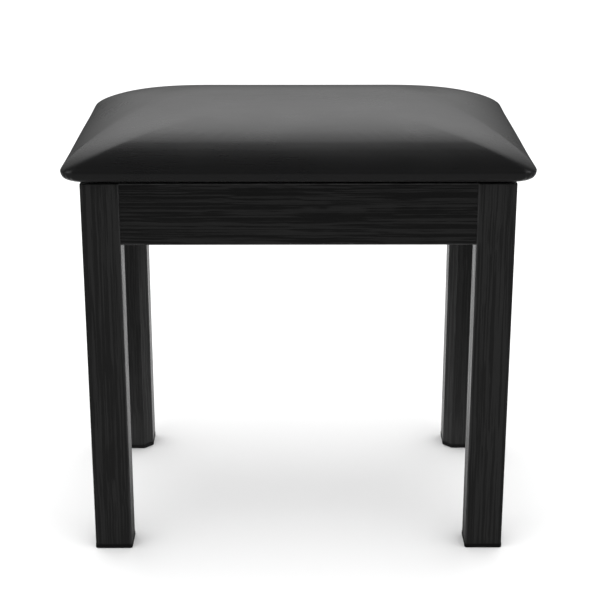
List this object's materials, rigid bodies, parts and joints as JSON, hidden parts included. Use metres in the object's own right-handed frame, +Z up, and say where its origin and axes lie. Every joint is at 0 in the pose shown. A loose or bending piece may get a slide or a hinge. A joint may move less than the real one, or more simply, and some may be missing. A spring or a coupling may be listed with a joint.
{
  "type": "piano bench",
  "caption": "Piano bench: square-legged black wooden frame with a padded vinyl seat that hinges up as a lid over a shallow music compartment.",
  "frame": {"origin": "on the floor, under the middle of the seat and frame", "axes": "+X to the right of someone facing the front (along the seat's length), front towards -Y, +Z up"},
  "size_m": [0.51, 0.332, 0.503],
  "materials": {
    "black_wood": "black satin paint over open-pored ash-like grain",
    "foot_plastic": "moulded black plastic",
    "zinc_steel": "zinc-plated steel",
    "rubber": "black rubber",
    "dowel_wood": "beech, glued",
    "hardboard": "thin board, black on its upper face",
    "plywood": "birch plywood",
    "foam": "upholstery foam",
    "black_vinyl": "smooth black vinyl with a soft sheen",
    "dust_cloth": "black non-woven cloth",
    "hinge_steel": "black-plated steel"
  },
  "bodies": {
    "frame": {"apron_front": "black_wood", "apron_left": "black_wood", "apron_rear": "black_wood", "apron_right": "black_wood", "bracket_screws": "zinc_steel", "compartment_floor": "hardboard", "corner_bolts": "zinc_steel", "corner_bracket_front_left": "zinc_steel", "corner_bracket_front_right": "zinc_steel", "corner_bracket_rear_left": "zinc_steel", "corner_bracket_rear_right": "zinc_steel", "corner_nuts": "zinc_steel", "corner_washers": "zinc_steel", "dowels": "dowel_wood", "foot_glide_front_left": "foot_plastic", "foot_glide_front_right": "foot_plastic", "foot_glide_rear_left": "foot_plastic", "foot_glide_rear_right": "foot_plastic", "glide_screws": "zinc_steel", "hinge_frame_leaf_left": "hinge_steel", "hinge_frame_leaf_right": "hinge_steel", "hinge_frame_screws": "hinge_steel", "hinge_pin_left": "hinge_steel", "hinge_pin_right": "hinge_steel", "leg_front_left": "black_wood", "leg_front_right": "black_wood", "leg_rear_left": "black_wood", "leg_rear_right": "black_wood", "rubber_bumper_front_left": "rubber", "rubber_bumper_front_right": "rubber", "rubber_bumper_rear_left": "rubber", "rubber_bumper_rear_right": "rubber", "stay_frame_plate": "hinge_steel", "stay_frame_rivet": "hinge_steel", "stay_frame_screws": "zinc_steel"},
    "lid": {"seat_board": "plywood", "foam_pad": "foam", "seat_cover": "black_vinyl", "cover_staples": "zinc_steel", "dust_cloth": "dust_cloth", "cloth_staples": "zinc_steel", "hinge_lid_leaf_left": "hinge_steel", "hinge_lid_leaf_right": "hinge_steel", "hinge_lid_screws": "hinge_steel", "stay_lid_bracket": "hinge_steel", "stay_lid_rivet": "hinge_steel", "stay_lid_screws": "zinc_steel"},
    "stay_lower": {"stay_lower_arm": "hinge_steel", "stay_elbow_rivet": "hinge_steel"},
    "stay_upper": {"stay_upper_arm": "hinge_steel"}
  },
  "joints": [
    {"name": "lid_hinge", "type": "hinge", "parent": "frame", "child": "lid", "pos_m": [0, 0.1535, 0.441], "axis": [-1, 0, 0], "range_deg": [0, 90]},
    {"name": "stay_frame_pivot", "type": "hinge", "parent": "frame", "child": "stay_lower", "pos_m": [0.2122, 0.05642, 0.401], "axis": [-1, 0, 0], "range_deg": [0, 90]},
    {"name": "stay_lid_pivot", "type": "hinge", "parent": "lid", "child": "stay_upper", "pos_m": [0.2099, 0.04877, 0.4335], "axis": [-1, 0, 0], "range_deg": [-90, 0]}
  ],
  "couplings": [
    {"joint": "stay_frame_pivot", "follows": "lid_hinge", "ratio": 1},
    {"joint": "stay_lid_pivot", "follows": "lid_hinge", "ratio": -1}
  ]
}
